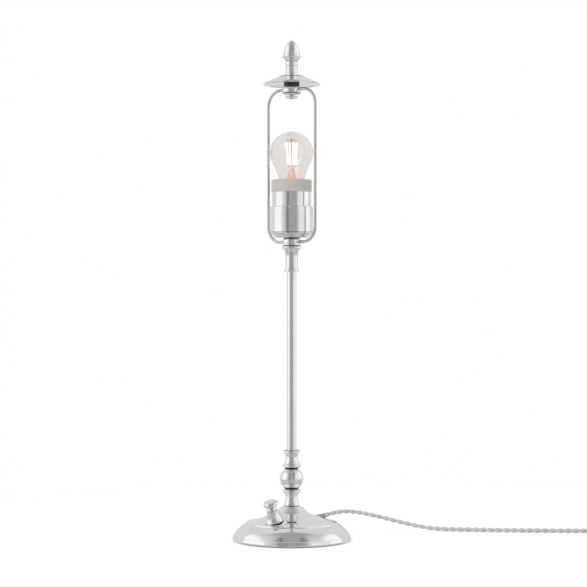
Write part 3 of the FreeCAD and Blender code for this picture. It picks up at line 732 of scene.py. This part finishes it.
grey_felt, tree, shader = new_finish("grey_felt", (0.40, 0.40, 0.39), 0.95,
                                     sockets={"Sheen Weight": 0.5, "Sheen Roughness": 0.6})
fluff = placed(tree, fibres, Fineness=1800.0, Patches=120.0)
bumped(tree, shader, fluff["Height"], 0.9, 0.0006)
tinted(tree, shader, fluff["Shade"], (0.30, 0.30, 0.295), (0.52, 0.52, 0.51))
dress(grey_felt, "felt_pad")


# Column: one nickel-plated tube from the nut under the base to the hub below the lampholder.
# The baluster's three turned pieces and the trumpet above slip over it.
# Heights and widths of the painted shade lines at the column's joints, in mm
BALUSTER_JOINTS = ((35.7, 0.5), (54.2, 1.4), (74.7, 1.1), (93.7, 0.4))
HUB_JOINTS = ((307.2, 0.4), (314.3, 0.9), (466.2, 0.5))
turned_nickel = nickel("turned_nickel", TURNED_LINES)
column_nickel = nickel("column_nickel", TURNED_LINES, joints=BALUSTER_JOINTS + HUB_JOINTS)
drawn_nickel = nickel("drawn_nickel", DRAWN_LINES, gloss=0.05, ring_depth=0.03)
dress(drawn_nickel, "stem_tube")
dress(column_nickel, "lower_baluster", "baluster_ball", "upper_baluster", "trumpet_coupling")


# Wire loop: two bent rods of plated brass, soldered into a hub below the lampholder and
# another above the bulb.
rod_nickel = nickel("rod_nickel", BENT_LINES, gloss=0.15, clean=0.66)
dress(rod_nickel, "loop_rod_left", "loop_rod_right")
dress(column_nickel, "lower_hub", "top_hub")


# Lampholder: a pressed and plated cup in two steps, screwed down on a nipple, with a
# porcelain body inside and a ceramic ring that closes its mouth.
# Heights and widths of the painted shade and reflection lines on the lampholder's steps, in mm
SHELL_JOINTS = ((314.8, 0.42), (321.4, 0.2))
pressed_nickel = nickel("pressed_nickel", SPUN_LINES, joints=SHELL_JOINTS)
# The cup's dish is a darker copy of the nickel: painted shade on its downward-facing underside
shaded_dish_nickel = nickel("shaded_dish_nickel", SPUN_LINES, gloss=0.06, clean=0.76, joints=SHELL_JOINTS)
dress(pressed_nickel, "holder_lower_shell")
dress(shaded_dish_nickel, "holder_dish")
dress(spun_nickel, "holder_upper_shell")
dress(zinc_plate, "holder_nipple", "holder_nut")
dress(rolled_brass, "centre_contact", "contact_screws")

glazed_ring, tree, shader = new_finish(
    "glazed_ring", (0.55, 0.525, 0.485), 0.22,
    sockets={"Coat Weight": 0.5, "Coat Roughness": 0.08, "Specular IOR Level": 0.5})
tinted(tree, shader, marked(tree, shader, 0.28, 0.12),
       (0.565, 0.54, 0.50), (0.52, 0.495, 0.455))
bumped(tree, shader, placed(tree, rings, Lines=900.0)["Height"], 0.06, 0.0002)
dress(glazed_ring, "holder_ring")

bare_porcelain = dusted("bare_porcelain", (0.80, 0.79, 0.75), 0.5,
                        (0.74, 0.73, 0.69), (0.84, 0.83, 0.80), bump=0.15, deep=0.0002)
dress(bare_porcelain, "holder_insert")


# Screw thread of the socket and of the bulb's cap: sheet metal rolled to a round-topped
# helix of the same pitch, so that the bulb screws down onto the centre contact.
PITCH = 3.63
THREAD_SIDES = 96
THREAD_FADE = 1.6  # mm of height over which the thread runs out at its ends


def rolled_thread(name, low, high, root, depth, wall, lead, foot, head):
    """A thin tube whose wall follows a helix between two heights, in mm. Foot and head are
    its plain rows of (outer radius, height) below and above the thread."""
    def threaded(height, angle):
        fade = min((height - low) / THREAD_FADE, (high - height) / THREAD_FADE, 1.0)
        turn = (height - low) / PITCH - angle / (2 * math.pi) + lead
        return root + depth * fade * (0.5 - 0.5 * math.cos(2 * math.pi * turn))

    step = PITCH / 12
    outside = [(height, radius) for radius, height in foot]
    outside += [(low + step * i, None) for i in range(int((high - low) / step) + 1)]
    outside += [(height, radius) for radius, height in head]
    rows = [(height, radius, 0.0) for height, radius in outside]
    rows += [(height, radius, wall) for height, radius in reversed(outside)]
    points, faces = [], []
    for height, plain, inwards in rows:
        for k in range(THREAD_SIDES):
            angle = 2 * math.pi * k / THREAD_SIDES
            radius = (threaded(height, angle) if plain is None else plain) - inwards
            points.append(Vector((radius * math.cos(angle), radius * math.sin(angle),
                                  height)) * 0.001)
    for i in range(len(rows)):
        here, there = i * THREAD_SIDES, ((i + 1) % len(rows)) * THREAD_SIDES
        for k in range(THREAD_SIDES):
            after = (k + 1) % THREAD_SIDES
            faces.append((here + k, here + after, there + after, there + k))
    return mesh_piece(name, points, faces, 50.0)


socket_thread = rolled_thread(
    "socket_thread", 347.2, 368.4, root=13.8, depth=0.5, wall=0.38, lead=0.5,
    foot=[(14.2, 346.1), (14.2, 346.5), (13.8, 346.6)], head=[(13.9, 369.0)])
socket_thread.data.materials.append(rolled_brass)
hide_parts("thread_shell")
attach(socket_thread, "lamp")

cap_thread = rolled_thread(
    "cap_thread", 353.4, 372.2, root=12.3, depth=0.8, wall=0.4, lead=0.0,
    foot=[(11.5, 352.5), (12.2, 353.1)],
    head=[(12.35, 372.4), (12.9, 373.0), (13.1, 374.0), (13.1, 375.0)])
rolled_aluminium, tree, shader = new_finish("rolled_aluminium", (0.80, 0.80, 0.79), 0.3, 1.0)
tinted(tree, shader, marked(tree, shader, 0.26, 0.16), (0.82, 0.82, 0.81), (0.68, 0.68, 0.67))
cap_thread.data.materials.append(rolled_aluminium)
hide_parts("bulb_cap")
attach(cap_thread, "bulb")


# Bulb: a small clear ball of blown glass with four glowing filament strips, wired to a
# pressed glass stem. Black glass closes the cap's foot round a tinned contact.
bulb_clear, tree, shader = new_finish(
    "bulb_clear", (0.872, 0.852, 0.844), 0.02,
    sockets={"Transmission Weight": 1.0, "IOR": 1.47})
tinted(tree, shader, marked(tree, shader, 0.0, 0.03),
       (0.882, 0.860, 0.850), (0.862, 0.840, 0.828))
dress(bulb_clear, "bulb_glass")

# The stem's faint glow and warm tint are painted light: the filaments' light shining in its glass
stem_glass, tree, shader = new_finish(
    "stem_glass", (0.94, 0.76, 0.66), 0.30,
    sockets={"Transmission Weight": 0.25, "IOR": 1.5, "Emission Strength": 0.28,
             "Emission Color": (1.0, 0.66, 0.52, 1)})
seeds = node(tree, "ShaderNodeTexNoise", {"Scale": 260.0, "Detail": 3.0},
             {"Vector": object_place(tree)}).outputs[0]
bumped(tree, shader, seeds, 0.4, 0.0005)
tinted(tree, shader, seeds, (0.90, 0.70, 0.60), (0.97, 0.82, 0.72))
dress(stem_glass, "bulb_stem")

FILAMENT_FEET, FILAMENT_HEADS = 4.2, 5.8  # mm from the bulb's axis
FILAMENT_TURN = 20.0
FILAMENT_Z = (391.0, 416.0)
FILAMENT_R = 0.8
TAB_LONG = 1.2
strips, tabs = [], []
for k in range(4):
    angle = math.radians(FILAMENT_TURN + 90 * k)
    outwards = Vector((math.cos(angle), math.sin(angle), 0))
    foot = (outwards * FILAMENT_FEET + Vector((0, 0, FILAMENT_Z[0]))) * 0.001
    head = (outwards * FILAMENT_HEADS + Vector((0, 0, FILAMENT_Z[1]))) * 0.001
    long = (head - foot).length * 1000
    place = standing(foot, head - foot)
    strips.append(lathed("strip", [
        (0, 1.0), (0.5, 1.05), (FILAMENT_R, 1.5), (FILAMENT_R, long - 1.5),
        (0.5, long - 1.05), (0, long - 1.0)], place, 20))
    for low, high in ((0.0, TAB_LONG), (long - TAB_LONG, long)):
        tabs.append(lathed("tab", [
            (0, low), (0.32, low), (0.42, low + 0.2), (0.42, high - 0.2), (0.32, high),
            (0, high)], place, 16))
glowing = joined("filament_strips", *strips)
tab_ends = joined("filament_tabs", *tabs)
lit_phosphor, tree, shader = new_finish(
    "lit_phosphor", (1.0, 0.72, 0.30), 0.6,
    sockets={"Emission Strength": 2.6, "Emission Color": (1.0, 0.86, 0.62, 1)})
speckle = node(tree, "ShaderNodeTexNoise", {"Scale": 1500.0, "Detail": 2.0},
               {"Vector": object_place(tree)}).outputs[0]
tree.links.new(mixed(tree, speckle, (1.0, 0.78, 0.48), (1.0, 0.92, 0.74)),
               shader.inputs["Emission Color"])
glowing.data.materials.append(lit_phosphor)
glowing.visible_glossy = False
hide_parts("bulb_filaments")
support_wire, tree, shader = new_finish("support_wire", (0.58, 0.56, 0.52), 0.3, 1.0)
marked(tree, shader, 0.26, 0.2)
tab_ends.data.materials.append(support_wire)
dress(support_wire, "filament_wires", "bulb_contact")
for piece in (glowing, tab_ends):
    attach(piece, "bulb")

black_vitrite = dusted("black_vitrite", (0.02, 0.02, 0.024), 0.12,
                       (0.012, 0.012, 0.015), (0.05, 0.05, 0.055))
dress(black_vitrite, "bulb_insulator")


# Top: nut, hub, spacer, the shallow cone that a shade would sit on, a sleeve and the acorn
# finial, all turned or spun, plated, and clamped on one steel stud. The near-black spacer is
# painted shade, for the dark hollow under the plate.
# Height and width of the painted shade line where the sleeve stands on the plate, in mm
PLATE_JOINTS = ((483.3, 0.45),)
plate_nickel = nickel("plate_nickel", SPUN_LINES, joints=PLATE_JOINTS)
# Painted shade: the spacer is coloured near black for the dark hollow under the plate
blackened_steel = dusted("blackened_steel", (0.03, 0.03, 0.031), 0.35,
                         (0.035, 0.035, 0.036), (0.075, 0.074, 0.072), metallic=0.4, bump=0.1)
dress(turned_nickel, "top_nut", "finial_sleeve", "finial")
dress(plate_nickel, "shade_plate")
dress(blackened_steel, "plate_spacer")
dress(zinc_plate, "top_stud")


# Switch: a turned housing with a knob on a steel spindle, which turns to dim and presses to
# switch. Its bush and washer hold it in the bell, over the dimmer's plastic case. A thin black
# band round the housing's foot is painted shade, for the gap between the foot and the bell.
SWITCH_AT = (-0.0177, -0.0260, 0.02293)
SWITCH_WAY = (-0.2017, -0.2962, 0.9336)
# Top and colour of the painted shade band round the housing's foot
FOOT_SHADE_TOP = 0.0007
FOOT_SHADE_BLACK = (0.03, 0.03, 0.03)
housing_nickel = nickel("housing_nickel", TURNED_LINES)
tree = housing_nickel.node_tree
shader = tree.nodes["Principled BSDF"]
tone = shader.inputs["Base Color"].links[0].from_socket
from_bell = node(tree, "ShaderNodeVectorMath", {1: SWITCH_AT}, {0: object_place(tree)},
                 operation="SUBTRACT").outputs[0]
along = node(tree, "ShaderNodeVectorMath", {1: SWITCH_WAY}, {0: from_bell},
             operation="DOT_PRODUCT").outputs["Value"]
# Painted shade: the foot's lowest band is near black, for the gap between the foot and the bell
tinted(tree, shader, edge_of(tree, along, FOOT_SHADE_TOP, 0.0002), FOOT_SHADE_BLACK, tone)
dress(housing_nickel, "switch_housing")
dress(turned_nickel, "switch_knob")
dress(zinc_plate, "switch_washer", "switch_spindle")
dress(rolled_brass, "switch_bush", "push_contact")
dress(moulded_black, "dimmer_case")

ivory_plastic = dusted("ivory_plastic", (0.78, 0.76, 0.70), 0.45,
                       (0.70, 0.68, 0.62), (0.82, 0.80, 0.75), bump=0.1)
dress(ivory_plastic, "dimmer_rotor", "terminal_block")


# Wiring: the cord's two cores end in a terminal block on the weight; single leads run from
# it to the dimmer and up the tube to the lampholder.
brown_sleeve = dusted("brown_sleeve", (0.16, 0.09, 0.06), 0.4,
                      (0.12, 0.065, 0.045), (0.22, 0.13, 0.09))
dress(brown_sleeve, "supply_leads", "lamp_leads", "switch_leads")
dress(rolled_brass, "terminal_screws")
